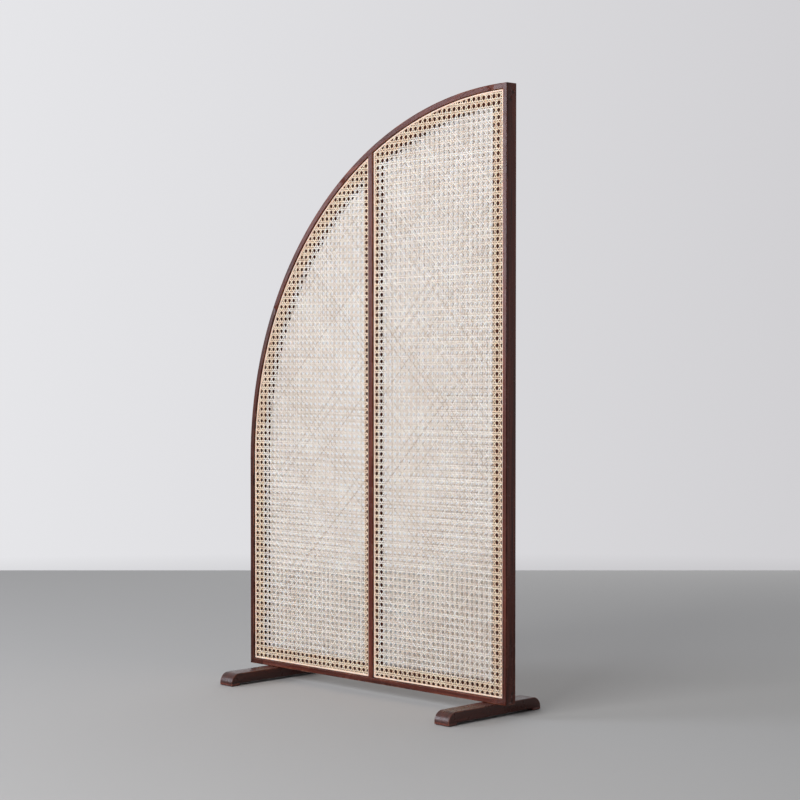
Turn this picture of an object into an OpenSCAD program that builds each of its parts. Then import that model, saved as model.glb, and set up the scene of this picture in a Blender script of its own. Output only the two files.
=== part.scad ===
// Arched room divider: one rigid panel in a quarter arch, a wooden frame filled on
// both faces with cane webbing, standing on two cross feet.
// X runs along the panel, the front face looks toward -Y, Z is up. The origin is at
// the middle of the space that the divider takes up on the floor.

/* [Panel] */
// Width of the panel, left edge to right edge; it is also the radius of the arch
panel_w = 1074; // [800:1:1300]
// Height of the panel, from the top of the feet to its top edge
panel_h = 1712; // [1400:1:2100]
// Thickness of the panel, front rim to back rim
panel_t = 38; // [34:0.5:60]

/* [Frame] */
// Width of each outer frame member, rim and ledge together
member_w = 58; // [50:0.5:80]
// Width of the raised rim on the outer members
rim_w = 16; // [12:0.5:24]
// Width of the upright mullion, rim and both ledges together
mullion_w = 60; // [50:0.5:80]
// Width of the raised rim on the mullion
mullion_rim_w = 18; // [12:0.5:24]
// Angle of the lower joint in the arch, from the left spring of the arch
arch_low_angle = 26; // [20:1:30]
// Angle of the upper joint in the arch, from the left spring of the arch
arch_high_angle = 52; // [45:1:54]

/* [Cane] */
// Depth of the cane's face below the rim
cane_recess = 5; // [3:0.5:7]
// Thickness of the cane webbing
cane_t = 2.4; // [1.5:0.1:3]
// Width of the reed spline that holds the webbing's edge
spline_w = 5; // [3:0.5:7]
// Ledge left bare between the rim and the spline
spline_gap = 1; // [0.5:0.5:3]
// Depth that the spline goes into the ledge
spline_depth = 3; // [2:0.5:5]
// Height that the spline stands above the cane's face
spline_proud = 1; // [0:0.5:2]
// Distance between the openings in the webbing, a coarse stand-in for its fine mesh
mesh_pitch = 41; // [34:1:60]
// Width and height of an opening in the webbing
mesh_opening = 20; // [14:1:26]
// Webbing left whole between its edge and the nearest opening
mesh_margin = 8; // [4:1:20]

/* [Feet] */
// Width of a foot
foot_w = 55; // [50:0.5:80]
// Height of a foot, glide included
foot_h = 38; // [36:0.5:60]
// Length of a foot in front of the panel
foot_front = 190; // [140:1:260]
// Length of a foot behind the panel
foot_back = 150; // [120:1:260]
// Radius of a foot bar's upper end corners
foot_end_r = 30; // [10:0.5:30]
// Height of the gap under a foot bar, between its end pads
foot_relief = 8; // [5:0.5:8]
// Length of the wooden pad under each end of a foot bar
foot_pad_len = 32; // [24:0.5:60]
// Distance from the panel's left edge to the left foot
foot_inset_left = 78; // [60:1:200]
// Distance from the panel's right edge to the right foot
foot_inset_right = 38; // [30:1:200]
// Thickness of a felt glide
glide_t = 2.5; // [1:0.5:4]
// Margin from a felt glide to the edges of its pad
glide_margin = 3; // [2:0.5:6]

/* [Joinery] */
// Width of a loose tenon
tenon_w = 32; // [20:0.5:36]
// Thickness of a loose tenon
tenon_t = 10; // [6:0.5:11]
// Length of a loose tenon, half in each member
tenon_len = 44; // [30:1:50]
// Clearance between pieces that fit in each other
fit_gap = 0.2; // [0.1:0.05:0.4]

/* [Corner screws] */
// Diameter of a corner screw's shank
screw_d = 4.5; // [4:0.5:5.5]
// Length of a corner screw
screw_len = 90; // [75:1:110]
// Diameter of a corner screw's head
screw_head_d = 9; // [7:0.5:9.5]
// Height of a corner screw's countersunk head
screw_head_t = 3; // [2:0.5:4]
// Diameter of the wood plug over a corner screw
plug_d = 10; // [10:0.5:12]
// Thickness of the wood plug over a corner screw
plug_t = 6; // [4:0.5:10]
// Distance between the two screws of a corner
screw_pitch = 20; // [16:1:24]
// Height of the lowest screw above the panel's bottom edge
screw_edge_bottom = 11; // [8:1:14]
// Distance of the highest screw below the panel's top edge
screw_edge_top = 26; // [25:1:34]
// Wood left between a corner screw's bore and the bottom of a spline's groove
screw_wall = 0.5; // [0.5:0.5:2]

/* [Foot bolts] */
// Diameter of a foot bolt
bolt_d = 5; // [4:0.5:6]
// Diameter of a foot bolt's head
bolt_head_d = 10; // [8:0.5:12]
// Height of a foot bolt's head
bolt_head_t = 4; // [3:0.5:5]
// Depth of the head's counterbore in the foot
bolt_counterbore = 5; // [5:0.5:12]
// Distance between the two bolts of a foot
bolt_spacing = 36; // [20:1:38]
// Outer diameter of the threaded insert above a foot bolt
insert_d = 8; // [7.5:0.5:9]
// Length of the threaded insert
insert_len = 14; // [10:0.5:16]
// Length of a foot bolt that goes up into the panel
bolt_grip = 15; // [12:0.5:15]
// Distance of the foot bolts in front of the panel's middle plane
bolt_row = 4; // [3:0.5:5]

/* [Hidden] */
$fn = 64;
arch_fn = 720;
foot_fn = 128;
// Length by which a cut runs past the face that it goes through
overshoot = 1;
// Room in the frame above a foot bolt's end
bolt_end_gap = 0.5;
// The two webbings aren't laid in line: how far the back one's openings lie to the
// right of the front one's, and above them, as shares of the pitch
back_shift_across = 0.31;
back_shift_up = 0.42;

STRAIGHT_NODES = ["right_stile", "left_stile", "bottom_rail", "mullion"];
ARCH_NODES = ["arch_lower", "arch_middle", "arch_upper"];
FRAME_NODES = concat(STRAIGHT_NODES, ARCH_NODES);
JOINERY_NODES = ["arch_tenons", "mullion_tenons", "corner_screws", "corner_plugs"];
FRONT_NODES = ["cane_front_left", "cane_front_right", "spline_front_left", "spline_front_right"];
BACK_NODES = ["cane_back_left", "cane_back_right", "spline_back_left", "spline_back_right"];
FOOT_NODES = ["foot_left", "foot_right", "foot_pads", "foot_glides", "foot_bolts", "bolt_inserts"];

// Places along X
panel_right = panel_w / 2;
panel_left = -panel_right;
foot_x_left = panel_left + foot_inset_left + foot_w / 2;
foot_x_right = panel_right - foot_inset_right - foot_w / 2;

// Places along Y
foot_len = foot_front + panel_t + foot_back;
front_y = foot_front - foot_len / 2;
mid_y = front_y + panel_t / 2;

// Places along Z
panel_bottom = foot_h;
panel_top = panel_bottom + panel_h;

// The arch is a quarter circle that ends level at the panel's right edge
arch_r = panel_w;
arch_z = panel_top - arch_r;
mullion_top = arch_z + sqrt(pow(arch_r - member_w, 2) - pow(panel_right, 2));

// The webbing lies on a ledge, and the ledges of both faces leave the core between them
ledge_depth = cane_recess + cane_t;
core_t = panel_t - 2 * ledge_depth;
spline_edge = spline_gap + spline_w;
groove_depth = ledge_depth + spline_depth + fit_gap;

// The webbing ends inside the spline, and its openings keep a margin from its edge
webbing_inset = spline_edge + fit_gap;
mesh_inset = webbing_inset + mesh_margin;

// Corner screws run between the grooves of both faces: side of the panel, height,
// and row, which is 1 toward the back and -1 toward the front
screw_row = panel_t / 2 - groove_depth - screw_wall - screw_d / 2 - fit_gap;
screw_low = panel_bottom + screw_edge_bottom;
screw_high = panel_top - screw_edge_top;
CORNER_SCREWS = [
    [1, screw_low, 1],
    [1, screw_low + screw_pitch, 1],
    [1, screw_high, 1],
    [1, screw_high - screw_pitch, -1],
    [-1, screw_low, 1],
    [-1, screw_low + screw_pitch, 1]
];

// Seat of a foot bolt's head, at the top of its counterbore
bolt_seat = foot_relief + bolt_counterbore;

wood = [0.36, 0.23, 0.20];
end_wood = [0.27, 0.17, 0.14];
tenon_wood = [0.72, 0.58, 0.42];
cane = [0.87, 0.80, 0.72];
reed = [0.80, 0.70, 0.58];
steel = [0.70, 0.71, 0.73];
brass = [0.78, 0.64, 0.34];
felt = [0.13, 0.12, 0.12];

// Extrudes a shape drawn in X and Z over a range of depth from the panel's front
module slab(depth, thickness) {
    translate([0, front_y + depth + thickness, 0])
        rotate([90, 0, 0])
            linear_extrude(thickness)
                children();
}

// The same, with the depth counted from the face that is named
module layer(face, depth, thickness) {
    slab(face == "front" ? depth : panel_t - depth - thickness, thickness)
        children();
}

// Outline of the panel, drawn in by an even distance
module panel_shape(inset) {
    intersection() {
        translate([panel_left + inset, panel_bottom + inset])
            square([panel_w - 2 * inset, panel_h]);
        union() {
            translate([panel_left, panel_bottom])
                square([panel_w, arch_z - panel_bottom]);
            translate([panel_right, arch_z])
                circle(r = arch_r - inset, $fn = arch_fn);
        }
    }
}

// Everything between two heights and two places along X
module band(x_from, x_to, z_from, z_to) {
    translate([x_from, z_from])
        square([x_to - x_from, z_to - z_from]);
}

// Upright strip about the middle of the panel
module centre_strip(width) {
    band(-width / 2, width / 2, panel_bottom, panel_top);
}

// Outline of one bay between the rims, drawn in by an even distance
module bay_shape(side, inset) {
    edge = mullion_rim_w / 2 + inset;
    intersection() {
        panel_shape(rim_w + inset);
        if (side == "left")
            band(panel_left, -edge, panel_bottom, panel_top);
        else
            band(edge, panel_right, panel_bottom, panel_top);
    }
}

// Ring along a bay's edge, where the spline runs
module spline_shape(side, gap) {
    difference() {
        bay_shape(side, spline_gap - gap);
        bay_shape(side, spline_edge + gap);
    }
}

// Sector of the arch between two angles from its left spring, short of the right stile
module arch_sector(angle_from, angle_to) {
    reach = 2 * arch_r;
    intersection() {
        translate([panel_right, arch_z])
            polygon([
                [0, 0],
                [-reach * cos(angle_from), reach * sin(angle_from)],
                [-reach * cos(angle_to), reach * sin(angle_to)]
            ]);
        band(panel_left, panel_right - member_w, arch_z, panel_top);
    }
}

// Puts a piece on the arch's centre line at an angle, with its Z along the arch
module at_arch(angle) {
    translate([panel_right, mid_y, arch_z])
        rotate([0, angle, 0])
            translate([member_w / 2 - arch_r, 0, 0])
                children();
}

// Puts a piece at each end of the mullion
module at_mullion_ends() {
    for (z = [panel_bottom + member_w, mullion_top])
        translate([0, mid_y, z])
            children();
}

// Puts a piece at each joint of the arch that a loose tenon holds
module at_arch_joints() {
    for (angle = [0, arch_low_angle, arch_high_angle])
        at_arch(angle)
            children();
}

// Puts a piece on each corner screw's axis, with its Z pointing into the frame
module at_corner_screws() {
    for (place = CORNER_SCREWS)
        translate([place[0] * panel_right, mid_y + place[2] * screw_row, place[1]])
            rotate([0, -90 * place[0], 0])
                children();
}

// Puts a piece on each foot bolt's axis
module at_bolts(foot_x) {
    for (side = [-1, 1])
        translate([foot_x + side * bolt_spacing / 2, mid_y - bolt_row, 0])
            children();
}

// Loose tenon with round edges, or its pocket when a gap is given
module tenon_form(gap) {
    length = tenon_len + 2 * gap;
    radius = tenon_t / 2 + gap;
    reach = (tenon_w - tenon_t) / 2;
    translate([-reach, -radius, -length / 2])
        cube([2 * reach, 2 * radius, length]);
    for (side = [-1, 1])
        translate([side * reach, 0, -length / 2])
            cylinder(h = length, r = radius);
}

// Countersunk screw below its plug, or its bore when a gap is given
module screw_form(gap) {
    translate([0, 0, plug_t]) {
        cylinder(h = screw_head_t, d1 = screw_head_d + 2 * gap, d2 = screw_d + 2 * gap);
        cylinder(h = screw_len + gap, d = screw_d + 2 * gap);
    }
}

// Everything that is cut out of the frame members
module frame_cuts() {
    for (face = ["front", "back"])
        for (side = ["left", "right"])
            layer(face, cane_recess, groove_depth - cane_recess)
                spline_shape(side, fit_gap);
    at_arch_joints()
        tenon_form(fit_gap);
    at_mullion_ends()
        tenon_form(fit_gap);
    at_corner_screws() {
        translate([0, 0, -overshoot])
            cylinder(h = plug_t + overshoot, d = plug_d + fit_gap);
        screw_form(fit_gap);
    }
    for (foot_x = [foot_x_left, foot_x_right])
        at_bolts(foot_x)
            translate([0, 0, panel_bottom - overshoot])
                cylinder(h = overshoot + bolt_grip + bolt_end_gap, d = insert_d + fit_gap);
}

// Frame member over the zone that its child draws: a full rim and a thinner ledge
module frame_member() {
    difference() {
        union() {
            slab(0, panel_t)
                intersection() {
                    difference() {
                        panel_shape(0);
                        panel_shape(rim_w);
                    }
                    children();
                }
            slab(ledge_depth, core_t)
                intersection() {
                    difference() {
                        panel_shape(0);
                        panel_shape(member_w);
                    }
                    children();
                }
        }
        frame_cuts();
    }
}

module right_stile() {
    color(wood)
        frame_member()
            band(panel_right - member_w, panel_right, panel_bottom, panel_top);
}

module left_stile() {
    color(wood)
        frame_member()
            band(panel_left, panel_left + member_w, panel_bottom, arch_z);
}

module bottom_rail() {
    color(wood)
        frame_member()
            band(panel_left + member_w, panel_right - member_w, panel_bottom, panel_bottom + member_w);
}

module arch_lower() {
    color(wood)
        frame_member()
            arch_sector(0, arch_low_angle);
}

module arch_middle() {
    color(wood)
        frame_member()
            arch_sector(arch_low_angle, arch_high_angle);
}

module arch_upper() {
    color(wood)
        frame_member()
            arch_sector(arch_high_angle, 90);
}

// The mullion's core ends at the other members, and its rim laps over their ledges
module mullion() {
    color(wood)
        difference() {
            union() {
                slab(0, panel_t)
                    intersection() {
                        centre_strip(mullion_rim_w);
                        panel_shape(member_w + fit_gap);
                    }
                slab(ledge_depth, core_t)
                    intersection() {
                        centre_strip(mullion_w);
                        panel_shape(member_w + fit_gap);
                    }
                for (face = ["front", "back"])
                    layer(face, 0, ledge_depth)
                        intersection() {
                            centre_strip(mullion_rim_w);
                            panel_shape(rim_w + fit_gap);
                        }
            }
            frame_cuts();
        }
}

module arch_tenons() {
    color(tenon_wood)
        at_arch_joints()
            tenon_form(0);
}

module mullion_tenons() {
    color(tenon_wood)
        at_mullion_ends()
            tenon_form(0);
}

module corner_screws() {
    color(steel)
        at_corner_screws()
            screw_form(0);
}

module corner_plugs() {
    color(end_wood)
        at_corner_screws()
            cylinder(h = plug_t, d = plug_d);
}

// Tells if an opening about a place is clear of a bay's sides and of the arch
function opening_fits(side, x, z) =
    let (
        reach = mesh_opening / 2,
        inner = mullion_rim_w / 2 + mesh_inset,
        outer = rim_w + mesh_inset,
        corner = [x - reach - panel_right, max(z + reach - arch_z, 0)]
    )
    x - reach >= (side == "left" ? panel_left + outer : inner)
    && x + reach <= (side == "left" ? -inner : panel_right - outer)
    && norm(corner) <= arch_r - outer;

// Grid of openings in a bay's webbing. The front one is even about the middle of the bay
module mesh_openings(face, side) {
    bay_left = side == "left" ? panel_left + rim_w : mullion_rim_w / 2;
    bay_w = panel_right - rim_w - mullion_rim_w / 2;
    lowest = panel_bottom + rim_w + mesh_inset + mesh_opening / 2;
    shift = face == "front" ? [0, 0] : [back_shift_across, back_shift_up];
    across = ceil(bay_w / mesh_pitch / 2);
    up = ceil(panel_h / mesh_pitch);
    for (column = [-across:across])
        for (row = [0:up]) {
            x = bay_left + bay_w / 2 + (column + 0.5 + shift[0]) * mesh_pitch;
            z = lowest + (row + shift[1]) * mesh_pitch;
            if (opening_fits(side, x, z))
                translate([x, z])
                    square(mesh_opening, center = true);
        }
}

// Webbing of one bay on one face, inside the spline
module cane_sheet(face, side) {
    color(cane)
        layer(face, cane_recess, cane_t)
            difference() {
                bay_shape(side, webbing_inset);
                mesh_openings(face, side);
            }
}

// Reed spline round one bay on one face
module spline(face, side) {
    color(reed)
        layer(face, cane_recess - spline_proud, spline_proud + cane_t + spline_depth)
            spline_shape(side, 0);
}

// Side view of a foot bar: a flat underside and round upper ends
module foot_profile() {
    difference() {
        translate([-foot_len / 2, foot_relief])
            square([foot_len, foot_h - foot_relief]);
        for (side = [0, 1])
            mirror([side, 0])
                translate([foot_len / 2 - foot_end_r, foot_h - foot_end_r])
                    difference() {
                        square(foot_end_r + overshoot);
                        circle(r = foot_end_r, $fn = foot_fn);
                    }
    }
}

module foot(foot_x) {
    color(wood)
        difference() {
            translate([foot_x - foot_w / 2, 0, 0])
                rotate([90, 0, 90])
                    linear_extrude(foot_w)
                        foot_profile();
            at_bolts(foot_x) {
                cylinder(h = foot_h + overshoot, d = bolt_d + 2 * fit_gap);
                cylinder(h = bolt_seat, d = bolt_head_d + 2 * fit_gap);
            }
        }
}

// Blocks under both ends of both feet, drawn in by a margin, over a range of height
module foot_blocks(margin, z_from, z_to) {
    length = foot_pad_len - 2 * margin;
    width = foot_w - 2 * margin;
    for (foot_x = [foot_x_left, foot_x_right])
        for (y = [margin - foot_len / 2, foot_len / 2 - margin - length])
            translate([foot_x - width / 2, y, z_from])
                cube([width, length, z_to - z_from]);
}

module foot_pads() {
    color(wood)
        foot_blocks(0, glide_t, foot_relief);
}

module foot_glides() {
    color(felt)
        foot_blocks(glide_margin, 0, glide_t);
}

module foot_bolts() {
    color(steel)
        for (foot_x = [foot_x_left, foot_x_right])
            at_bolts(foot_x)
                translate([0, 0, bolt_seat - bolt_head_t]) {
                    cylinder(h = bolt_head_t, d = bolt_head_d);
                    cylinder(h = panel_bottom + bolt_grip - bolt_seat + bolt_head_t, d = bolt_d);
                }
}

module bolt_inserts() {
    color(brass)
        for (foot_x = [foot_x_left, foot_x_right])
            at_bolts(foot_x)
                translate([0, 0, panel_bottom])
                    difference() {
                        cylinder(h = insert_len, d = insert_d);
                        translate([0, 0, -overshoot])
                            cylinder(h = insert_len + 2 * overshoot, d = bolt_d + 2 * fit_gap);
                    }
}

right_stile();
left_stile();
arch_lower();
arch_middle();
arch_upper();
bottom_rail();
mullion();
arch_tenons();
mullion_tenons();
corner_screws();
corner_plugs();
cane_sheet("front", "left");  // cane_front_left
cane_sheet("front", "right");  // cane_front_right
cane_sheet("back", "left");  // cane_back_left
cane_sheet("back", "right");  // cane_back_right
spline("front", "left");  // spline_front_left
spline("front", "right");  // spline_front_right
spline("back", "left");  // spline_back_left
spline("back", "right");  // spline_back_right
foot(foot_x_left);  // foot_left
foot(foot_x_right);  // foot_right
foot_pads();
foot_glides();
foot_bolts();
bolt_inserts();
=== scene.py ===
"""Looks of the arched cane room divider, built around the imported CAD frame."""

import math

import bmesh
import bpy
import numpy as np
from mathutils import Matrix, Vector


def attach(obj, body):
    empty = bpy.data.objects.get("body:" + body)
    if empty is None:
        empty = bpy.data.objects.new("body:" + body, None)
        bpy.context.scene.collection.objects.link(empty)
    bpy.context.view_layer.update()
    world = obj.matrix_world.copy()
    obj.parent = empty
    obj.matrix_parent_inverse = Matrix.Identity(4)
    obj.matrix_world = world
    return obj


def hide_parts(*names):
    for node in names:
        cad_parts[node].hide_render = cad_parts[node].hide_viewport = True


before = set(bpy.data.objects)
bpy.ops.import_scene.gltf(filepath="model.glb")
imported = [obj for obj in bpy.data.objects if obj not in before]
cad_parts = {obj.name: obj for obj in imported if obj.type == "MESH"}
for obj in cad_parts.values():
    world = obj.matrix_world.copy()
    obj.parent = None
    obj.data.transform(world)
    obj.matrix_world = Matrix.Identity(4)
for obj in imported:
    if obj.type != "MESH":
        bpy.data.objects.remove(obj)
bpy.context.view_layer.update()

MM = 0.001

# ---- the frame's sizes, in millimetres, as in the part's source
PANEL_W, PANEL_H, PANEL_T = 1074.0, 1712.0, 38.0
MEMBER_W, RIM_W, MULLION_W, MULLION_RIM_W = 58.0, 16.0, 60.0, 18.0
CANE_RECESS, CANE_T = 5.0, 2.4
SPLINE_GAP, SPLINE_W, SPLINE_DEPTH, SPLINE_PROUD = 1.0, 5.0, 3.0, 1.0
FRONT_Y, BACK_Y = 1.0, 39.0
BOTTOM_Z = 38.0
TOP_Z = BOTTOM_Z + PANEL_H
LEFT_X, RIGHT_X = -PANEL_W / 2, PANEL_W / 2
ARCH_R = PANEL_W
ARCH_Z = TOP_Z - ARCH_R
FOOT_REACH = 189.0

# ---- camera, at the photograph's viewing angle: its yaw in radians and its drop in degrees
CAMERA_YAW, CAMERA_DROP = 0.78492, 1.648
camera_data = bpy.data.cameras.new("camera")
camera_data.sensor_width = 36.0
camera_data.lens = 91.08
camera_data.clip_start, camera_data.clip_end = 0.1, 60.0
camera = bpy.data.objects.new("camera", camera_data)
bpy.context.scene.collection.objects.link(camera)
camera.location = (4.2505, -4.1298, 1.041)
camera.rotation_euler = (math.radians(90 - CAMERA_DROP), 0.0, CAMERA_YAW)
bpy.context.scene.camera = camera


# ---- shader helpers
def new_material(name):
    mat = bpy.data.materials.new(name)
    mat.use_nodes = True
    tree = mat.node_tree
    return mat, tree, tree.nodes["Principled BSDF"]


def link(tree, a, b):
    tree.links.new(a, b)


def node(tree, kind, **values):
    made = tree.nodes.new("ShaderNode" + kind)
    for key, value in values.items():
        setattr(made, key, value)
    return made


def feed(tree, socket, value):
    """Gives a socket a number, a colour or another node's output."""
    if isinstance(value, (int, float)):
        socket.default_value = value
    elif isinstance(value, tuple):
        socket.default_value = (*value, 1.0)
    else:
        link(tree, value, socket)


def math_node(tree, operation, a, b=0.5, clamp=False):
    made = node(tree, "Math", operation=operation, use_clamp=clamp)
    feed(tree, made.inputs[0], a)
    feed(tree, made.inputs[1], b)
    return made.outputs[0]


def scaled(tree, value, factor, added, clamp=False):
    """value * factor + added"""
    made = math_node(tree, "MULTIPLY_ADD", value, factor, clamp)
    made.node.inputs[2].default_value = added
    return made


def split(tree, vector):
    """A vector's three parts."""
    made = node(tree, "SeparateXYZ")
    link(tree, vector, made.inputs[0])
    return made.outputs


def share_along(tree, vector, way):
    """How far a direction points along another."""
    made = node(tree, "VectorMath", operation="DOT_PRODUCT")
    link(tree, vector, made.inputs[0])
    made.inputs[1].default_value = way
    return made.outputs["Value"]


def ramp(tree, factor, stops, smooth=False):
    made = node(tree, "ValToRGB")
    if smooth:
        made.color_ramp.interpolation = "EASE"
    elements = made.color_ramp.elements
    while len(elements) < len(stops):
        elements.new(0.5)
    for element, (place, colour) in zip(elements, stops):
        element.position = place
        element.color = (*colour, 1.0)
    link(tree, factor, made.inputs[0])
    return made.outputs[0]


def grey(value):
    return (value, value, value)


def mix(tree, factor, a, b, blend="MIX"):
    made = node(tree, "Mix", data_type="RGBA", blend_type=blend)
    for index, value in ((0, factor), (6, a), (7, b)):
        feed(tree, made.inputs[index], value)
    return made.outputs[2]


def noise(tree, vector, scale, detail=2.0, rough=0.5, distortion=0.0):
    made = node(tree, "TexNoise")
    made.inputs["Scale"].default_value = scale
    made.inputs["Detail"].default_value = detail
    made.inputs["Roughness"].default_value = rough
    made.inputs["Distortion"].default_value = distortion
    link(tree, vector, made.inputs["Vector"])
    return made.outputs["Fac"]


def mapped(tree, vector, scale, rotation=(0, 0, 0), location=(0, 0, 0)):
    """The vector turned into a piece's own axes first, then scaled along them."""
    made = node(tree, "Mapping", vector_type="TEXTURE")
    made.inputs["Location"].default_value = location
    made.inputs["Rotation"].default_value = rotation
    made.inputs["Scale"].default_value = [1.0 / s for s in scale]
    link(tree, vector, made.inputs["Vector"])
    return made.outputs[0]


def bump(tree, shader, height, distance, strength):
    made = node(tree, "Bump")
    made.inputs["Distance"].default_value = distance
    made.inputs["Strength"].default_value = strength
    link(tree, height, made.inputs["Height"])
    link(tree, made.outputs[0], shader.inputs["Normal"])


def linear(*rgb):
    """A colour given in 0 to 255 as a scene value."""
    return tuple(
        c / 255 / 12.92 if c / 255 <= 0.04045 else ((c / 255 + 0.055) / 1.055) ** 2.4 for c in rgb
    )


# ---- materials
WALNUT = (linear(54, 23, 17), linear(82, 38, 29), linear(110, 57, 43))
WALNUT_WORN = linear(142, 88, 66)
# The sunk ledges under the cane: wood with painted shade
LEDGE_SHADE = linear(50, 27, 18)
END_WOOD = (linear(40, 18, 14), linear(60, 30, 23), linear(80, 42, 32))
RED_WOOD = (linear(74, 34, 27), linear(100, 50, 40), linear(124, 68, 54))
RED_WORN = linear(140, 84, 64)
FOOT_WOOD = (linear(50, 20, 14), linear(67, 29, 21), linear(82, 38, 28))
FOOT_WORN = linear(112, 64, 50)
BEECH = (linear(170, 132, 92), linear(196, 160, 118), linear(214, 182, 142))
CANE = (linear(188, 172, 157), linear(231, 220, 210), linear(250, 243, 235))
CANE_STAIN = linear(192, 162, 136)
REED = (linear(214, 199, 192), linear(234, 223, 219), linear(244, 237, 235))
REED_STAIN = linear(186, 154, 132)
# Painted shade: where wood lies behind the cane no light shines through it, so the cane's colour
# is made warmer and darker there
BACKING_SHADE_TINT = (1.08, 0.91, 0.76)
# and its two cut edges are darker than its bark: partly the exposed pith, partly painted shade in
# the gaps between strands
CUT_EDGE_SHADE = (0.54, 0.43, 0.33)

# How fine the marks in wood are: repeats a metre, twice across the grain, then along it
BAND_SCALE, STREAK_SCALE = (34, 34, 1.6), (190, 190, 5.0)
FIBRE_SCALE, PORE_SCALE = (900, 900, 22), (1300, 1300, 60)
RUB_SCALE = (26, 26, 26)
# and in cane: repeats a metre along a strand, then repeats a strand
DRIFT_SCALE, CANE_FIBRE_SCALE, SPOT_SCALE = (9, 1.7, 1), (55, 14, 1), (38, 2.3, 1)


def bare_shaded_ledge_mask(tree, place):
    """1 on the sunk faces that lie under the cane, which are left unoiled and take a painted
    shade.
    """
    middle_y = (FRONT_Y + BACK_Y) / 2 * MM
    from_middle = math_node(tree, "SUBTRACT", split(tree, place)[1], middle_y)
    from_middle = math_node(tree, "ABSOLUTE", from_middle)
    sunk = math_node(tree, "LESS_THAN", from_middle, (PANEL_T / 2 - CANE_RECESS / 2) * MM)
    facing = split(tree, node(tree, "NewGeometry").outputs["Normal"])[1]
    flat = math_node(tree, "GREATER_THAN", math_node(tree, "ABSOLUTE", facing), 0.9)
    return math_node(tree, "MULTIPLY", sunk, flat)


def wood(
    name, dark, middle, light, rotation, seed, worn=None, gloss=0.22, shine=0.18, relief=0.00012
):
    """Oiled hardwood with its grain along local Z before the rotation: bands, fibres and pores."""
    mat, tree, shader = new_material(name)
    place = node(tree, "TexCoord").outputs["Object"]
    offset = (0.37 * seed, 0.61 * seed, 0.23 * seed)

    def grain(scale, detail, rough, distortion=0.0):
        turned = mapped(tree, place, scale, rotation, offset)
        return noise(tree, turned, 1.0, detail, rough, distortion)

    bands = grain(BAND_SCALE, 3.0, 0.55, 0.9)
    streaks = grain(STREAK_SCALE, 4.0, 0.6, 0.3)
    fibres = grain(FIBRE_SCALE, 2.0, 0.6)
    pores = grain(PORE_SCALE, 1.0, 0.5)
    mixed = math_node(tree, "MULTIPLY", bands, 0.55)
    mixed = math_node(tree, "ADD", mixed, math_node(tree, "MULTIPLY", streaks, 0.45))
    colour = ramp(tree, mixed, [(0.36, dark), (0.5, middle), (0.66, light)], smooth=True)
    fibre_tone = ramp(tree, fibres, [(0.3, grey(0.80)), (0.7, grey(1.14))])
    colour = mix(tree, 0.6, colour, fibre_tone, "MULTIPLY")
    pore_mask = ramp(tree, pores, [(0.63, grey(0.0)), (0.72, grey(1.0))])
    colour = mix(tree, math_node(tree, "MULTIPLY", pore_mask, 0.45), colour, grey(0.012))
    rub = noise(tree, mapped(tree, place, RUB_SCALE, location=offset), 1.0, 3.0, 0.6)
    rough = ramp(tree, rub, [(0.3, grey(gloss - 0.05)), (0.7, grey(gloss + 0.10))])
    rough = mix(tree, math_node(tree, "MULTIPLY", pore_mask, 0.6), rough, grey(0.8))
    if worn:
        edge = node(tree, "Attribute", attribute_name="edge").outputs["Fac"]
        spots = ramp(tree, rub, [(0.42, grey(0.0)), (0.62, grey(0.75))])
        colour = mix(tree, math_node(tree, "MULTIPLY", edge, spots), colour, worn)
        bare_shaded = bare_shaded_ledge_mask(tree, place)
        # painted shade on the ledges under the cane, which are also rough as unoiled wood
        colour = mix(tree, math_node(tree, "MULTIPLY", bare_shaded, 0.75), colour, LEDGE_SHADE)
        rough = mix(tree, bare_shaded, rough, grey(0.9))
    link(tree, colour, shader.inputs["Base Color"])
    link(tree, rough, shader.inputs["Roughness"])
    shader.inputs["Specular IOR Level"].default_value = shine
    height = math_node(tree, "SUBTRACT", math_node(tree, "MULTIPLY", fibres, 0.5), pore_mask)
    bump(tree, shader, height, relief, 0.6)
    return mat


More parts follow.
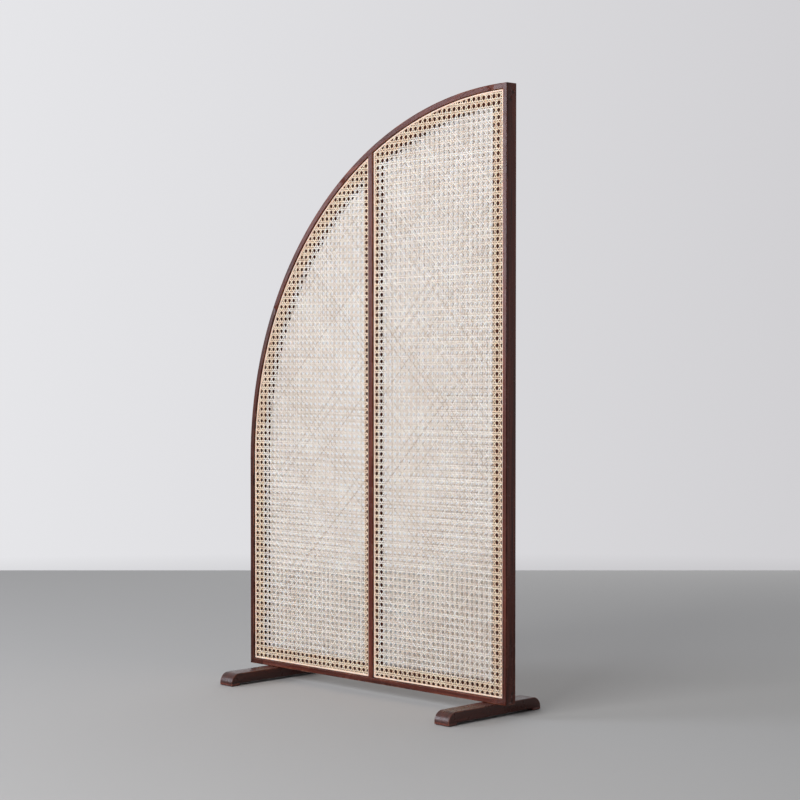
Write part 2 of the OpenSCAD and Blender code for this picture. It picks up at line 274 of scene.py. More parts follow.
def strand_material(name, dark, middle, light, stain, variety, gloss=0.38, cut_edge_shade=True):
    """Peeled cane: a glossy bark face with fibres along each strand, and strands that differ."""
    mat, tree, shader = new_material(name)
    along = node(tree, "UVMap", uv_map="Strand").outputs[0]
    length, number = split(tree, along)[:2]
    tone_at = node(tree, "CombineXYZ")
    link(tree, math_node(tree, "FLOOR", number), tone_at.inputs[1])
    link(tree, math_node(tree, "MULTIPLY", length, 0.004), tone_at.inputs[0])
    per_strand = noise(tree, tone_at.outputs[0], 3.17, 1.0, 0.5)
    drift = noise(tree, mapped(tree, along, DRIFT_SCALE), 1.0, 3.0, 0.6)
    fibres = noise(tree, mapped(tree, along, CANE_FIBRE_SCALE), 1.0, 3.0, 0.65)
    value = math_node(tree, "MULTIPLY", per_strand, variety)
    value = math_node(tree, "ADD", value, math_node(tree, "MULTIPLY", drift, 0.30))
    value = math_node(tree, "ADD", value, math_node(tree, "MULTIPLY", fibres, 0.30))
    centre = 0.5 * variety + 0.3
    colour = ramp(tree, value, [(centre - 0.16, dark), (centre, middle), (centre + 0.15, light)])
    spots = noise(tree, mapped(tree, along, SPOT_SCALE, location=(3.1, 0.4, 0)), 1.0, 2.0, 0.5)
    spots = ramp(tree, spots, [(0.66, grey(0.0)), (0.76, grey(1.0))])
    colour = mix(tree, math_node(tree, "MULTIPLY", spots, 0.35), colour, stain)
    # painted shade: warmer and darker where wood lies behind the cane and stops the light through
    # it
    backing_shade = node(tree, "Attribute", attribute_name="backing_shade").outputs["Fac"]
    colour = mix(tree, backing_shade, colour, BACKING_SHADE_TINT, "MULTIPLY")
    # darker cut edges: partly the exposed pith, partly painted shade in the gaps between strands
    if cut_edge_shade:
        from_middle = math_node(tree, "SUBTRACT", math_node(tree, "FRACT", number), 0.5)
        from_middle = math_node(tree, "ABSOLUTE", from_middle)
        edge = ramp(tree, from_middle, [(0.30, grey(0.0)), (0.44, grey(1.0))])
        colour = mix(tree, edge, colour, CUT_EDGE_SHADE, "MULTIPLY")
    link(tree, colour, shader.inputs["Base Color"])
    rough = ramp(tree, fibres, [(0.3, grey(gloss - 0.06)), (0.7, grey(gloss + 0.12))])
    link(tree, rough, shader.inputs["Roughness"])
    shader.inputs["Subsurface Weight"].default_value = 0.75
    shader.inputs["Subsurface Radius"].default_value = (1.0, 0.85, 0.7)
    shader.inputs["Subsurface Scale"].default_value = 0.0013
    bump(tree, shader, fibres, 0.00010, 0.5)
    return mat


def metal(name, colour, marks, rough):
    """Metal with fine scratches and stained spots."""
    mat, tree, shader = new_material(name)
    place = node(tree, "TexCoord").outputs["Object"]
    scratches = noise(tree, mapped(tree, place, (420, 420, 1900)), 1.0, 3.0, 0.6)
    stains = noise(tree, place, 90.0, 3.0, 0.6)
    tint = ramp(tree, stains, [(0.35, marks), (0.6, colour)])
    link(tree, tint, shader.inputs["Base Color"])
    shader.inputs["Metallic"].default_value = 1.0
    rubbed = ramp(tree, scratches, [(0.3, grey(rough - 0.08)), (0.7, grey(rough + 0.14))])
    link(tree, rubbed, shader.inputs["Roughness"])
    bump(tree, shader, scratches, 0.00006, 0.5)
    return mat


def felt_material(name):
    mat, tree, shader = new_material(name)
    place = node(tree, "TexCoord").outputs["Object"]
    fuzz = noise(tree, place, 1700.0, 4.0, 0.7, 1.2)
    clumps = noise(tree, place, 240.0, 3.0, 0.6)
    tone = ramp(tree, fuzz, [(0.3, (0.010, 0.009, 0.009)), (0.7, (0.038, 0.034, 0.032))])
    tone = mix(tree, math_node(tree, "MULTIPLY", clumps, 0.4), tone, (0.05, 0.045, 0.042))
    link(tree, tone, shader.inputs["Base Color"])
    shader.inputs["Roughness"].default_value = 0.95
    shader.inputs["Sheen Weight"].default_value = 0.25
    shader.inputs["Sheen Roughness"].default_value = 0.5
    bump(tree, shader, fuzz, 0.0004, 0.8)
    return mat


def toned(palette, share):
    return tuple(tuple(c * share for c in colour) for colour in palette)


def grain_turn(degrees):
    """Turns the grain from upright toward +X."""
    return (0.0, math.radians(degrees), 0.0)


ALONG_Y = (math.radians(90), 0.0, 0.0)


# ---- pieces
# Degrees between two faces above which the edge between them stays sharp
WOOD_CREASE, CANE_CREASE, REED_CREASE, FELT_CREASE = 38, 62, 50, 70


def new_piece(name, mesh, material):
    piece = bpy.data.objects.new(name, mesh)
    bpy.context.scene.collection.objects.link(piece)
    mesh.materials.append(material)
    return piece


def smooth(mesh, crease):
    """Smooth shading, but for edges whose faces meet at more than the crease, in degrees."""
    mesh.polygons.foreach_set("use_smooth", np.ones(len(mesh.polygons), bool))
    mesh.set_sharp_from_angle(angle=math.radians(crease))


# ---- solids with softened edges: how wide each rounding is, in mm
CORNER_ROUND, FACE_ROUND, RIM_ROUND, FOOT_ROUND = 2.0, 2.8, 1.3, 2.4
# the CAD mesh's points are welded over this many mm, and its flat faces made whole again
# where they bend by less than this many degrees
WELD, FLAT = 0.02, 0.08
# each member's grain angle, its tone as a share of WALNUT's, and its shine
MEMBERS = {
    "right_stile": (0.0, 1.06, 0.22),
    "left_stile": (0.0, 0.52, 0.16),
    "mullion": (0.0, 1.1, 0.14),
    "bottom_rail": (90.0, 1.05, 0.18),
    "arch_lower": (13.0, 0.65, 0.20),
    "arch_middle": (39.0, 1.25, 0.14),
    "arch_upper": (69.5, 1.15, 0.11),
}


def near(a, b, tolerance=0.06):
    """Whether two places in mm are the same, but for the mesh's rounding."""
    return abs(a - b) < tolerance


def outline_gap(point):
    """Distance in mm from a point's place in X and Z to the panel's outline, inward."""
    x, z = point[0], point[2]
    gaps = [x - LEFT_X, RIGHT_X - x, z - BOTTOM_Z]
    if z > ARCH_Z:
        gaps.append(ARCH_R - math.hypot(x - RIGHT_X, z - ARCH_Z))
    return min(gaps)


def edges_with_ends(bm):
    """Each edge with its two ends in mm."""
    for edge in bm.edges:
        a, b = (v.co / MM for v in edge.verts)
        yield edge, a, b


def face_edges(bm):
    """The edges that lie on the panel's front or back face."""
    for edge, a, b in edges_with_ends(bm):
        if any(near(a.y, face_y) and near(b.y, face_y) for face_y in (FRONT_Y, BACK_Y)):
            yield edge, a, b


def panel_edges(bm, inset):
    """Edges on the front or back face that follow the panel's outline at an inset."""
    return [
        edge
        for edge, a, b in face_edges(bm)
        if all(near(outline_gap(point), inset, 0.12) for point in (a, b, (a + b) / 2))
    ]


def mullion_edges(bm):
    """Upright edges of the mullion's rim on the front or back face."""
    return [
        edge
        for edge, a, b in face_edges(bm)
        if near(a.x, b.x) and near(abs(a.x), MULLION_RIM_W / 2)
    ]


def corner_edges(bm):
    """Edges through the panel's thickness at its three outer corners."""
    corners = ((LEFT_X, BOTTOM_Z), (RIGHT_X, BOTTOM_Z), (RIGHT_X, TOP_Z))
    return [
        edge
        for edge, a, b in edges_with_ends(bm)
        for x, z in corners
        if all(near(point.x, x) and near(point.z, z, 0.1) for point in (a, b))
    ]


def soften(bm, edges, width, marks, segments=3):
    """Rounds edges, and marks the faces that this makes as worn."""
    if not edges:
        return
    made = bmesh.ops.bevel(
        bm,
        geom=edges,
        offset=width * MM,
        offset_type="OFFSET",
        segments=segments,
        profile=0.5,
        affect="EDGES",
        clamp_overlap=False,
        loop_slide=True,
        material=-1,
    )
    for face in made["faces"]:
        for loop in face.loops:
            loop[marks] = 1.0


def dressed(name, node_name, soften_steps, material):
    """A copy of a CAD solid with softened edges, which stands for the solid."""
    mesh = bpy.data.meshes.new(name)
    bm = bmesh.new()
    bm.from_mesh(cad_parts[node_name].data)
    bmesh.ops.remove_doubles(bm, verts=bm.verts, dist=WELD * MM)
    bmesh.ops.dissolve_limit(bm, angle_limit=math.radians(FLAT), verts=bm.verts, edges=bm.edges)
    marks = bm.loops.layers.float.new("edge")
    soften_steps(bm, marks)
    bmesh.ops.triangulate(bm, faces=[f for f in bm.faces if len(f.verts) > 4])
    bm.to_mesh(mesh)
    bm.free()
    smooth(mesh, WOOD_CREASE)
    piece = new_piece(name, mesh, material)
    weighted = piece.modifiers.new("even_normals", "WEIGHTED_NORMAL")
    weighted.keep_sharp = True
    weighted.weight = 90
    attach(piece, "root")
    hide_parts(node_name)


def soften_member(bm, marks):
    soften(bm, corner_edges(bm), CORNER_ROUND, marks)
    soften(bm, panel_edges(bm, 0.0), FACE_ROUND, marks)
    soften(bm, panel_edges(bm, RIM_W) + mullion_edges(bm), RIM_ROUND, marks, 2)


def soften_foot(bm, marks):
    """Every edge of a foot bar's two sides above its underside."""
    sides = [pick(v.co.x / MM for v in bm.verts) for pick in (min, max)]
    floor_z = min(v.co.z / MM for v in bm.verts)
    picked = [
        edge
        for edge, a, b in edges_with_ends(bm)
        if any(near(a.x, side) and near(b.x, side) for side in sides)
        and max(a.z, b.z) > floor_z + 0.1
    ]
    soften(bm, picked, FOOT_ROUND, marks)


def soften_pads(bm, marks):
    """Upright edges of the blocks under the foot bars' ends."""
    picked = [
        edge
        for edge, a, b in edges_with_ends(bm)
        if near(a.x, b.x) and near(a.y, b.y) and near(abs(a.y), FOOT_REACH, 0.1)
    ]
    soften(bm, picked, FOOT_ROUND, marks)


for index, (member, (angle, tone, shine)) in enumerate(MEMBERS.items()):
    tones = toned(WALNUT, tone)
    skin = wood("wood_" + member, *tones, grain_turn(angle), 1 + index, WALNUT_WORN, shine=shine)
    dressed(member + "_wood", member, soften_member, skin)

for index, side in enumerate(("left", "right")):
    skin = wood(
        "wood_foot_" + side, *FOOT_WOOD, ALONG_Y, 11 + index, FOOT_WORN, 0.28, 0.36, 0.00005
    )
    dressed("foot_bar_" + side, "foot_" + side, soften_foot, skin)

skin = wood("wood_pads", *RED_WOOD, ALONG_Y, 17, RED_WORN, shine=0.45)
dressed("foot_end_pads", "foot_pads", soften_pads, skin)


# ---- the bays
def bay_limits(side, inset):
    """Left, right and lower limits and the arch's radius of a bay, in mm."""
    outer = RIM_W + inset
    inner = MULLION_RIM_W / 2 + inset
    if side == "left":
        return LEFT_X + outer, -inner, BOTTOM_Z + outer, ARCH_R - outer
    return inner, RIGHT_X - outer, BOTTOM_Z + outer, ARCH_R - outer


def gap_inside(x, z, limits):
    """How far inside limits like a bay's points lie, in mm. Less than 0 is outside."""
    x0, x1, z0, radius = limits
    gap = np.minimum(np.minimum(x - x0, x1 - x), z - z0)
    round_gap = radius - np.hypot(x - RIGHT_X, z - ARCH_Z)
    return np.where(z > ARCH_Z, np.minimum(gap, round_gap), gap)


# The width in mm over which the cane's painted shade fades at a ledge
BACKING_FADE = 8.0


def backing(side, x, z):
    """Where the cane takes its painted shade: 1 where a member's ledge lies behind the cane, 0
    where nothing does.
    """
    x0, x1, z0, radius = bay_limits(side, 0)
    outer, inner = MEMBER_W - RIM_W, (MULLION_W - MULLION_RIM_W) / 2
    at_left, at_right = (outer, inner) if side == "left" else (inner, outer)
    open_part = (x0 + at_left, x1 - at_right, z0 + outer, radius - outer)
    return np.clip(0.5 - gap_inside(x, z, open_part) / BACKING_FADE, 0, 1)


# ---- cane webbing, strand by strand. Lengths are in mm
STRAND_T = CANE_T / 3
PAIR_GAP, PAIR_STRAND, DIAGONAL_STRAND = 2.6, 2.75, 2.45
# How far in from the rim a strand ends
CANE_REACH = 4.5
# Where along a hole a strand changes depth, in holes, and its depth there, in strands
WEAVE_STEPS = ((0.0, 0.0), (0.29, 0.5), (0.43, 0.5), (0.57, -0.5), (0.71, -0.5))
CROSS_STEPS = ((0.127, -1.0), (0.373, 1.0), (0.627, 1.0), (0.873, -1.0))
# The shortest step, and how many holes either way are tried, which is past any bay
LEAST_STEP, REPEATS = 0.02, 130
# How many times the step in which a strand ends is halved to find its end
HALVINGS = 12
# A strand's bark face: its width and its height over the middle, as shares of the strand's
BARK_W, BARK_H = 0.52, 0.44
# Strands differ: they lie off line, bend, and vary in width and in how they're turned
SWAY, BEND, WIDTH_SPREAD, TURN_SPREAD = 0.11, 0.13, 0.035, 0.02
# In the Strand map each strand has a whole number across and a start of its own along
STRAND_MARGIN, STRAND_START, STRIP_MARGIN = 0.05, 0.731, 0.06
# The first hole and the one past the last that are tried across and up
TRIED_ACROSS, TRIED_UP = (-4, 32), (-4, 96)
WEAVE_SEED = 101
# The webbing isn't laid quite true. For each bay, in mm from the panel's lower left
# corner: where its middle hole lies, the reach of its lattice there, then how far it
# leans, twists and bows over that reach
HOLES_ACROSS, HOLES_UP = 250 / 19, 600 / 19
LATTICE = {
    "left": {
        "x": {"middle": 276.0, "reach": 248.5, "lean": -1.0, "twist": -2.0, "bow": (1.0, -0.5)},
        "z": {"middle": 604.5, "reach": 577.5, "lean": 1.0, "twist": -2.0, "bow": (-1.0, 5.0)},
    },
    "right": {
        "x": {"middle": 809.0, "reach": 249.5, "lean": -0.5, "twist": -0.5, "bow": (-1.5, 2.5)},
        "z": {"middle": 632.5, "reach": 610.0, "lean": 3.0, "twist": 2.5, "bow": (-1.0, 3.0)},
    },
}
# How far the back sheets lie from the front ones, in holes: across and up at the
# middle, then how that changes toward the top and toward the right
BACK_LAY = {"left": (0.62, 0.08, 0.12, -0.10), "right": (0.58, 0.12, -0.14, 0.12)}
FRONT_LAY = (0.0, 0.0, 0.0, 0.0)


def hole_place(side, a, b, lay):
    """X and Z in mm of a point given in the bay's lattice, where holes are whole numbers."""
    u = (a + lay[0]) / HOLES_ACROSS - 1
    v = (b + lay[1]) / HOLES_UP - 1
    u, v = u + lay[2] * v / HOLES_ACROSS, v + lay[3] * u / HOLES_UP
    place = []
    for axis, (along, other) in (("x", (u, v)), ("z", (v, u))):
        run = LATTICE[side][axis]
        offset = run["middle"] + run["reach"] * along + run["lean"] * other
        offset += run["twist"] * u * v + run["bow"][0] * u * u + run["bow"][1] * v * v
        place.append(offset)
    return LEFT_X + place[0], BOTTOM_Z + place[1]


def pitches(side):
    """Distance between holes across and up, at the middle of a bay's lattice."""
    return LATTICE[side]["x"]["reach"] / HOLES_ACROSS, LATTICE[side]["z"]["reach"] / HOLES_UP


class Strands:
    """Collects strands of one family of one sheet, and makes one mesh of them."""

    def __init__(self, side, face, seed):
        self.side, self.face = side, face
        self.lay = BACK_LAY[side] if face == "back" else FRONT_LAY
        self.limits = bay_limits(side, CANE_REACH)
        self.random = np.random.default_rng(seed)
        self.points, self.faces, self.lengths = [], [], []
        self.strand_uv, self.bake_strip = [], []
        self.count = 0
        self.total = 0

    def place(self, start, way, t):
        return hole_place(self.side, start[0] + way[0] * t, start[1] + way[1] * t, self.lay)

    def edge_at(self, start, way, inner, outer):
        """Where a strand's line crosses the bay's outline, between two of its points."""
        for _ in range(HALVINGS):
            middle = (inner + outer) / 2
            if gap_inside(*self.place(start, way, middle), self.limits) >= 0:
                inner = middle
            else:
                outer = middle
        return inner

    def depth_steps(self, start, way, steps, phase):
        """Rows of a place along the strand and its depth there, or None outside the bay."""
        base = np.arange(-REPEATS, REPEATS + 1)
        ticks = np.concatenate(
            [
                np.stack([base + where - phase, np.full(len(base), height)], 1)
                for where, height in steps
            ]
        )
        ticks = ticks[np.argsort(ticks[:, 0])]
        inside = gap_inside(*self.place(start, way, ticks[:, 0]), self.limits) > 0
        where = np.flatnonzero(inside)
        if len(where) < 2:
            return None
        first, last = where[0], where[-1]
        low = self.edge_at(start, way, ticks[first, 0], ticks[first - 1, 0])
        high = self.edge_at(start, way, ticks[last, 0], ticks[last + 1, 0])
        ends = np.interp([low, high], ticks[:, 0], ticks[:, 1])
        kept = ticks[(ticks[:, 0] > low + LEAST_STEP) & (ticks[:, 0] < high - LEAST_STEP)]
        return np.concatenate([[[low, ends[0]]], kept, [[high, ends[1]]]])

    def add(self, start, way, width, steps, phase, sign):
        """A strand along start + t * way in the lattice. Its depth repeats as phase + t does."""
        ticks = self.depth_steps(start, way, steps, phase)
        if ticks is None:
            return
        t, height = ticks[:, 0], ticks[:, 1] * sign * STRAND_T
        x, z = self.place(start, way, t)
        slope_x, slope_z = np.gradient(x), np.gradient(z)
        slope = np.hypot(slope_x, slope_z)
        nx, nz = -slope_z / slope, slope_x / slope
        sway = self.random.normal(0, SWAY)
        bend = BEND * np.sin(t / (4 + 3 * self.random.random()) + 6.3 * self.random.random())
        x, z = x + nx * (sway + bend), z + nz * (sway + bend)
        half = width / 2 * (1 + self.random.normal(0, WIDTH_SPREAD))
        turn = self.random.normal(0, TURN_SPREAD)
        section = (
            (-half, -STRAND_T / 2),
            (-BARK_W * half, STRAND_T * BARK_H),
            (BARK_W * half, STRAND_T * BARK_H),
            (half, -STRAND_T / 2),
        )
        middle = CANE_RECESS + CANE_T / 2
        points = np.empty((len(t), 4, 3))
        for k, (across, up) in enumerate(section):
            depth = middle - (height + up + across * turn)
            points[:, k, 0] = x + nx * across
            points[:, k, 1] = FRONT_Y + depth if self.face == "front" else BACK_Y - depth
            points[:, k, 2] = z + nz * across
        along = np.concatenate([[0.0], np.cumsum(np.hypot(np.diff(x), np.diff(z)))]) * MM
        self.wrap(along)
        self.points.append(points.reshape(-1, 3))
        self.lengths.append(along[-1])
        self.count += 4 * len(t)
        self.total += 1

    def wrap(self, along):
        """Faces and places in both UV maps of a strand whose rings lie at lengths along it."""
        rings = len(along)
        i = np.arange(rings - 1)[:, None] * 4 + self.count
        corners = [
            np.concatenate([i + a, i + b, i + 4 + b, i + 4 + a], 1)
            for a, b in ((0, 1), (1, 2), (2, 3), (3, 0))
        ]
        quads = np.stack(corners, 1).reshape(-1, 4)
        head = np.array([[self.count, self.count + 3, self.count + 2, self.count + 1]])
        tail = head[:, ::-1] + 4 * (rings - 1)
        self.faces.append(np.concatenate([quads, head, tail]))
        uv = np.empty((rings - 1, 4, 4, 2))
        bake = np.empty((rings - 1, 4, 4, 3))
        for f, (a, b) in enumerate(((0.0, 0.25), (0.25, 0.75), (0.75, 1.0), (1.0, 0.0))):
            for corner, (row, c) in enumerate(((0, a), (0, b), (1, b), (1, a))):
                at = along[:-1] if row == 0 else along[1:]
                uv[:, f, corner, 0] = at + STRAND_START * self.total
                uv[:, f, corner, 1] = STRAND_MARGIN + (1 - 2 * STRAND_MARGIN) * c + self.total
                bake[:, f, corner, 0] = at
                bake[:, f, corner, 1] = STRIP_MARGIN + (1 - 2 * STRIP_MARGIN) * c
                bake[:, f, corner, 2] = 2 * self.total + (1 if f == 3 else 0)
        uv = uv.reshape(-1, 4, 2)
        bake = bake.reshape(-1, 4, 3)
        self.strand_uv.append(np.concatenate([uv, uv[:1], uv[-1:]]))
        self.bake_strip.append(np.concatenate([bake, bake[:1], bake[-1:]]))

    def mesh(self, name, columns):
        points = np.concatenate(self.points)
        faces = np.concatenate(self.faces)
        strand_uv = np.concatenate(self.strand_uv)
        bake = np.concatenate(self.bake_strip)
        if self.face == "front":
            faces, strand_uv, bake = faces[:, ::-1], strand_uv[:, ::-1], bake[:, ::-1]
        mesh = bpy.data.meshes.new(name)
        mesh.vertices.add(len(points))
        mesh.vertices.foreach_set("co", (points * MM).astype(np.float32).ravel())
        mesh.loops.add(faces.size)
        mesh.loops.foreach_set("vertex_index", faces.astype(np.int32).ravel())
        mesh.polygons.add(len(faces))
        mesh.polygons.foreach_set("loop_start", np.arange(0, faces.size, 4, dtype=np.int32))
        mesh.update(calc_edges=True)
        layer = mesh.uv_layers.new(name="Strand")
        layer.data.foreach_set("uv", strand_uv.astype(np.float32).ravel())
        # strips of the strands' faces, side by side in a few columns
        strips = 2 * self.total
        per_column = math.ceil(strips / columns)
        longest = max(self.lengths) * 1.01
        column = bake[..., 2] // per_column
        place = np.empty(bake.shape[:2] + (2,))
        place[..., 0] = (bake[..., 2] % per_column + bake[..., 1]) / per_column
        place[..., 1] = (column + bake[..., 0] / longest) / columns
        layer = mesh.uv_layers.new(name="OFBake")
        layer.data.foreach_set("uv", place.astype(np.float32).ravel())
        mesh.uv_layers.active = mesh.uv_layers["Strand"]
        # where the cane takes its painted shade, over the members' ledges
        backing_shade = mesh.attributes.new("backing_shade", "FLOAT", "POINT")
        value = backing(self.side, points[:, 0], points[:, 2])
        backing_shade.data.foreach_set("value", value.astype(np.float32))
        smooth(mesh, CANE_CREASE)
        mesh.validate()
        return mesh


def weave(face, side, seed):
    """The strands of one sheet: pairs both ways, and two sets of diagonals."""
    (a0, a1), (b0, b1) = TRIED_ACROSS, TRIED_UP
    pitch_across, pitch_up = pitches(side)
    up = Strands(side, face, seed)
    for a in range(a0, a1):
        for sign in (-1, 1):
            start = (a + 0.5 + sign * PAIR_GAP / pitch_across, 0.0)
            up.add(start, (0.0, 1.0), PAIR_STRAND, WEAVE_STEPS, 0.0, sign)
    across = Strands(side, face, seed + 1)
    for b in range(b0, b1):
        for sign in (-1, 1):
            start = (0.0, b + 0.5 + sign * PAIR_GAP / pitch_up)
            across.add(start, (1.0, 0.0), PAIR_STRAND, WEAVE_STEPS, 0.0, -sign)
    slanted = Strands(side, face, seed + 2)
    for k in range(a0 - b1, a1 - b0):
        slanted.add((k + 0.5, 0.0), (1.0, 1.0), DIAGONAL_STRAND, CROSS_STEPS, k + 0.5, 1)
    for k in range(a0 + b0, a1 + b1):
        slanted.add((k + 0.5, 0.0), (1.0, -1.0), DIAGONAL_STRAND, CROSS_STEPS, k + 0.5, -1)
    node_name = f"cane_{face}_{side}"
    for strands, part, columns, skin in (
        (up, "uprights", 1, pair_skin),
        (across, "rows", 3, pair_skin),
        (slanted, "diagonals", 3, diagonal_skin),
    ):
        name = f"{node_name}_{part}"
        piece = new_piece(name, strands.mesh(name, columns), skin)
        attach(piece, "root")
        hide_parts(node_name)


pair_skin = strand_material("cane_pairs", *CANE, CANE_STAIN, 0.50)
diagonal_skin = strand_material("cane_diagonals", *CANE, CANE_STAIN, 1.10)
for sheet, (face, side) in enumerate(
    (("front", "left"), ("front", "right"), ("back", "left"), ("back", "right"))
):
    weave(face, side, WEAVE_SEED + 10 * sheet)


# ---- reed splines in the grooves
RAIL_STEPS, STILE_STEPS, ARC_STEPS = 24, 40, 72
# The reed's skin is one long strip, laid in rows for baking
BAKE_ROWS = 6
REED_UNEVEN = 0.12


def bay_outline(side, inset):
    """Corner and arch points round a bay at an inset, the same number at any inset."""
    x0, x1, z0, radius = bay_limits(side, inset)
    low = 0.0 if side == "left" else math.acos((RIGHT_X - x0) / radius)
    high = math.acos((RIGHT_X - x1) / radius)
    top = ARCH_Z + radius * math.sin(high)
    points = [(x0 + (x1 - x0) * k / RAIL_STEPS, z0) for k in range(RAIL_STEPS)]
    points += [(x1, z0 + (top - z0) * k / STILE_STEPS) for k in range(STILE_STEPS)]
    for k in range(ARC_STEPS + 1):
        angle = high + (low - high) * k / ARC_STEPS
        points.append((RIGHT_X - radius * math.cos(angle), ARCH_Z + radius * math.sin(angle)))
    end = points[-1][1]
    points += [(x0, end + (z0 - end) * k / STILE_STEPS) for k in range(1, STILE_STEPS)]
    return points


def sweep_spline(face, side, skin):
    """A round-topped reed along the bay's edge, with a slow unevenness."""
    top = CANE_RECESS - SPLINE_PROUD
    low = CANE_RECESS + CANE_T + SPLINE_DEPTH
    # shares of the width, and depths under the panel's face
    section = (
        (0.0, low),
        (0.0, top + 1.7),
        (0.07, top + 0.95),
        (0.22, top + 0.32),
        (0.5, top + 0.02),
        (0.78, top + 0.32),
        (0.93, top + 0.95),
        (1.0, top + 1.7),
        (1.0, low),
    )
    rings = [bay_outline(side, SPLINE_GAP + SPLINE_W * across) for across, _ in section]
    crown = rings[len(section) // 2]
    steps, count = len(section), len(crown)
    points, faces = [], []
    for ring, (_, depth) in zip(rings, section):
        for k, (x, z) in enumerate(ring):
            sag = REED_UNEVEN * math.sin(k * 0.9) * math.sin(k * 0.37 + 1.0)
            sunk = depth + abs(sag) if depth < low else depth
            y = FRONT_Y + sunk if face == "front" else BACK_Y - sunk
            points.append((x * MM, y * MM, z * MM))
    for s in range(steps):
        following = (s + 1) % steps
        for k in range(count):
            m = (k + 1) % count
            quad = [s * count + k, s * count + m, following * count + m, following * count + k]
            faces.append(quad if face == "front" else quad[::-1])
    name = f"reed_{face}_{side}"
    mesh = bpy.data.meshes.new(name)
    mesh.from_pydata(points, [], faces)
    distance = [0.0]
    for a, b in zip(crown, crown[1:] + crown[:1]):
        distance.append(distance[-1] + math.hypot(b[0] - a[0], b[1] - a[1]) * MM)
    in_rows = [at / distance[-1] * BAKE_ROWS for at in distance]
    strand = mesh.uv_layers.new(name="Strand")
    bake = mesh.uv_layers.new(name="OFBake")
    for polygon in mesh.polygons:
        s, k = divmod(polygon.index, count)
        row = math.floor(in_rows[k])
        corners = [(0, k), (0, k + 1), (1, k + 1), (1, k)]
        if face != "front":
            corners = corners[::-1]
        for loop, (step, at) in zip(polygon.loop_indices, corners):
            strand.data[loop].uv = (distance[at], (s + step) / steps * 2.0)
            bake.data[loop].uv = (
                min(in_rows[at] - row, 1.0),
                (row + (s + step * 0.98) / steps * 0.96 + 0.01) / BAKE_ROWS,
            )
    mesh.uv_layers.active = strand
    # the reed lies on wood all along, so it takes the painted shade everywhere
    backing_shade = mesh.attributes.new("backing_shade", "FLOAT", "POINT")
    backing_shade.data.foreach_set("value", [1.0] * len(points))
    smooth(mesh, REED_CREASE)
    mesh.validate()
    piece = new_piece(name, mesh, skin)
    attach(piece, "root")
    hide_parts(f"spline_{face}_{side}")


reed_skin = strand_material("reed_spline", *REED, REED_STAIN, 0.5, 0.5, cut_edge_shade=False)
for face in ("front", "back"):
    for side in ("left", "right"):
        sweep_spline(face, side, reed_skin)


# ---- felt glides with crushed, rounded edges
FELT_GRID = 10
# Shares of the felt's height at its three levels, and how far its edges draw in there, in mm
FELT_LEVELS = ((0.0, 0.5), (0.5, 0.0), (1.0, 0.6))
FELT_UNEVEN, FELT_SEED = 0.06, 5


def drawn_in(low, high, share, pull):
    """A place between two limits, and at either limit that far inside it."""
    inward = pull if share == 0 else -pull if share == 1 else 0.0
    return low + (high - low) * share + inward


def felt_pads(skin):
    random = np.random.default_rng(FELT_SEED)
    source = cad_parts["foot_glides"].data
    co = np.array([v.co for v in source.vertices]) / MM
    every = range(FELT_GRID + 1)
    ring = (
        [(i, 0) for i in range(FELT_GRID)]
        + [(FELT_GRID, j) for j in range(FELT_GRID)]
        + [(i, FELT_GRID) for i in range(FELT_GRID, 0, -1)]
        + [(0, j) for j in range(FELT_GRID, 0, -1)]
    )
    points, faces = [], []
    for sx, sy in ((-1, -1), (-1, 1), (1, -1), (1, 1)):
        mine = co[(co[:, 0] * sx > 0) & (co[:, 1] * sy > 0)]
        lo, hi = mine.min(0), mine.max(0)
        at = {}
        for level, (height, pull) in enumerate(FELT_LEVELS):
            for j, i in ((j, i) for j in every for i in every):
                if level == 1 and (i, j) not in ring:
                    continue
                x = drawn_in(lo[0], hi[0], i / FELT_GRID, pull)
                y = drawn_in(lo[1], hi[1], j / FELT_GRID, pull)
                z = lo[2] + (hi[2] - lo[2]) * height
                if level == 1:
                    x += random.normal(0, FELT_UNEVEN)
                    y += random.normal(0, FELT_UNEVEN)
                at[level, i, j] = len(points)
                points.append((x * MM, y * MM, z * MM))
        for j, i in ((j, i) for j in every[:-1] for i in every[:-1]):
            for level, turn in (
                (0, ((0, 0), (0, 1), (1, 1), (1, 0))),
                (2, ((0, 0), (1, 0), (1, 1), (0, 1))),
            ):
                faces.append([at[level, i + a, j + b] for a, b in turn])
        for level in (0, 1):
            for a, b in zip(ring, ring[1:] + ring[:1]):
                quad = ((level, *a), (level, *b), (level + 1, *b), (level + 1, *a))
                faces.append([at[corner] for corner in quad])
    mesh = bpy.data.meshes.new("felt_pads")
    mesh.from_pydata(points, [], faces)
    smooth(mesh, FELT_CREASE)
    piece = new_piece("felt_pads", mesh, skin)
    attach(piece, "root")
    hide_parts("foot_glides")


felt_pads(felt_material("felt_dark"))


# ---- finishes of the CAD solids that stay
def finish_node(name, material):
    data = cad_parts[name].data
    data.materials.clear()
    data.materials.append(material)


finish_node("corner_plugs", wood("wood_plugs", *END_WOOD, grain_turn(90), 21))
finish_node("arch_tenons", wood("wood_arch_tenons", *BEECH, grain_turn(30), 23, gloss=0.6))
finish_node("mullion_tenons", wood("wood_mullion_tenons", *BEECH, grain_turn(0), 25, gloss=0.6))
finish_node("corner_screws", metal("steel_screws", (0.62, 0.62, 0.60), (0.42, 0.41, 0.38), 0.34))
finish_node("foot_bolts", metal("steel_bolts", (0.60, 0.60, 0.60), (0.40, 0.39, 0.37), 0.30))
finish_node("bolt_inserts", metal("brass_inserts", (0.72, 0.55, 0.28), (0.48, 0.35, 0.18), 0.32))

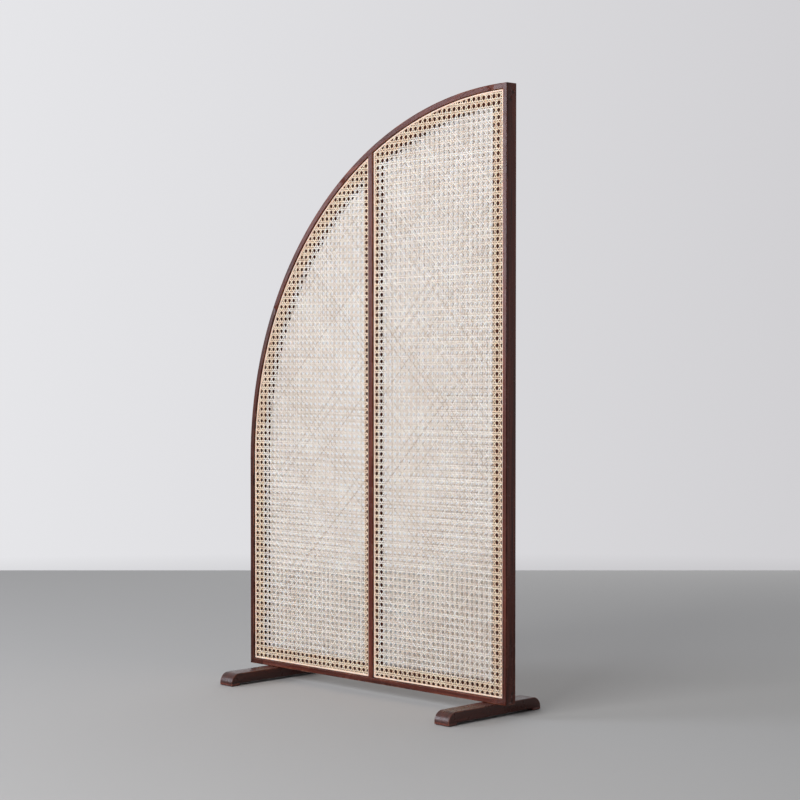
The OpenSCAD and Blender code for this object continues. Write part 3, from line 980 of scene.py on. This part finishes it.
# ---- floor, a square that faces the camera
HALF_FLOOR = 3.27
floor_mat, _, floor_shader = new_material("floor")
floor_shader.inputs["Base Color"].default_value = (0.462, 0.455, 0.449, 1.0)
floor_shader.inputs["Roughness"].default_value = 0.75
floor_shader.inputs["Specular IOR Level"].default_value = 0.15
turn_x, turn_y = math.cos(CAMERA_YAW), math.sin(CAMERA_YAW)
corners = [
    (HALF_FLOOR * (a * turn_x - b * turn_y), HALF_FLOOR * (a * turn_y + b * turn_x), 0.0)
    for a, b in ((-1, -1), (1, -1), (1, 1), (-1, 1))
]
floor_mesh = bpy.data.meshes.new("floor")
floor_mesh.from_pydata(corners, [], [(0, 1, 2, 3)])
floor = new_piece("floor", floor_mesh, floor_mat)

# ---- light
ROOM_LEVEL, ROOM_SLOPE, ROOM_LEAST = 0.34, 0.9, 0.15
ROOM_SIDE = (-0.75, 0.66, 0.0)
WALL_FALL = (-0.707, -0.707, 0.0)
world = bpy.data.worlds.new("world")
bpy.context.scene.world = world
world.use_nodes = True
tree = world.node_tree
tree.nodes.clear()
direction = node(tree, "TexCoord").outputs["Generated"]
upward = split(tree, direction)[2]

# soft room light: least in front on the right, and most behind on the left, rather low
# but less again near the horizon
lowness = math_node(tree, "SUBTRACT", 1.0, upward, clamp=True)
room = math_node(tree, "MULTIPLY", share_along(tree, direction, ROOM_SIDE), lowness)
room = math_node(tree, "MULTIPLY", room, scaled(tree, upward, 4.5, 0.05, clamp=True))
room = scaled(tree, room, ROOM_SLOPE, ROOM_LEVEL)
room = math_node(tree, "MAXIMUM", room, ROOM_LEAST)
ambient = node(tree, "Background")
ambient.inputs["Color"].default_value = (0.96, 0.98, 1.01, 1.0)
link(tree, room, ambient.inputs["Strength"])

# the pale wall, with painted shade: it falls off a little to the right and is darker at its foot
fall = scaled(tree, share_along(tree, direction, WALL_FALL), 2.5, 0.5)
wall = ramp(tree, fall, [(0.0, linear(209, 208, 211)), (1.0, linear(230, 230, 233))])
foot = scaled(tree, upward, 17.86, 2.857)
foot = ramp(tree, foot, [(0.0, grey(0.70)), (0.72, grey(0.78)), (1.0, grey(1.0))])
wall = mix(tree, 1.0, wall, foot, "MULTIPLY")
backdrop = node(tree, "Background")
link(tree, wall, backdrop.inputs["Color"])
backdrop.inputs["Strength"].default_value = 1.0

# the camera and mirror reflections see the wall, and everything is lit by the room
rays = node(tree, "LightPath").outputs
seen = math_node(tree, "MAXIMUM", rays["Is Camera Ray"], rays["Is Transmission Ray"])
seen = math_node(tree, "MAXIMUM", seen, rays["Is Glossy Ray"])
blend = node(tree, "MixShader")
link(tree, seen, blend.inputs[0])
link(tree, ambient.outputs[0], blend.inputs[1])
link(tree, backdrop.outputs[0], blend.inputs[2])
output = node(tree, "OutputWorld")
link(tree, blend.outputs[0], output.inputs[0])


def area_light(name, place, target, size, power, colour=(1.0, 1.0, 1.0), mirrored=True):
    """A soft lamp. One that isn't mirrored leaves no glare on the polished wood."""
    data = bpy.data.lights.new(name, "AREA")
    data.shape = "RECTANGLE"
    data.size, data.size_y = size
    data.energy, data.color = power, colour
    lamp = bpy.data.objects.new(name, data)
    lamp.location = place
    lamp.rotation_mode = "QUATERNION"
    lamp.rotation_quaternion = (Vector(target) - Vector(place)).to_track_quat("-Z", "Y")
    lamp.visible_camera = False
    lamp.visible_glossy = mirrored
    bpy.context.scene.collection.objects.link(lamp)


area_light("window", (-4.0, -4.4, 2.35), (0.0, 0.0, 1.2), (2.4, 2.6), 150.0, (0.93, 0.97, 1.08))
area_light("front", (0.9, -5.2, 3.2), (0.0, 0.0, 1.0), (3.6, 2.4), 232.0)
area_light("back", (-2.9, 5.6, 1.3), (0.0, 0.0, 1.1), (3.0, 2.0), 88.0, mirrored=False)

bpy.context.scene.view_settings.view_transform = "Standard"
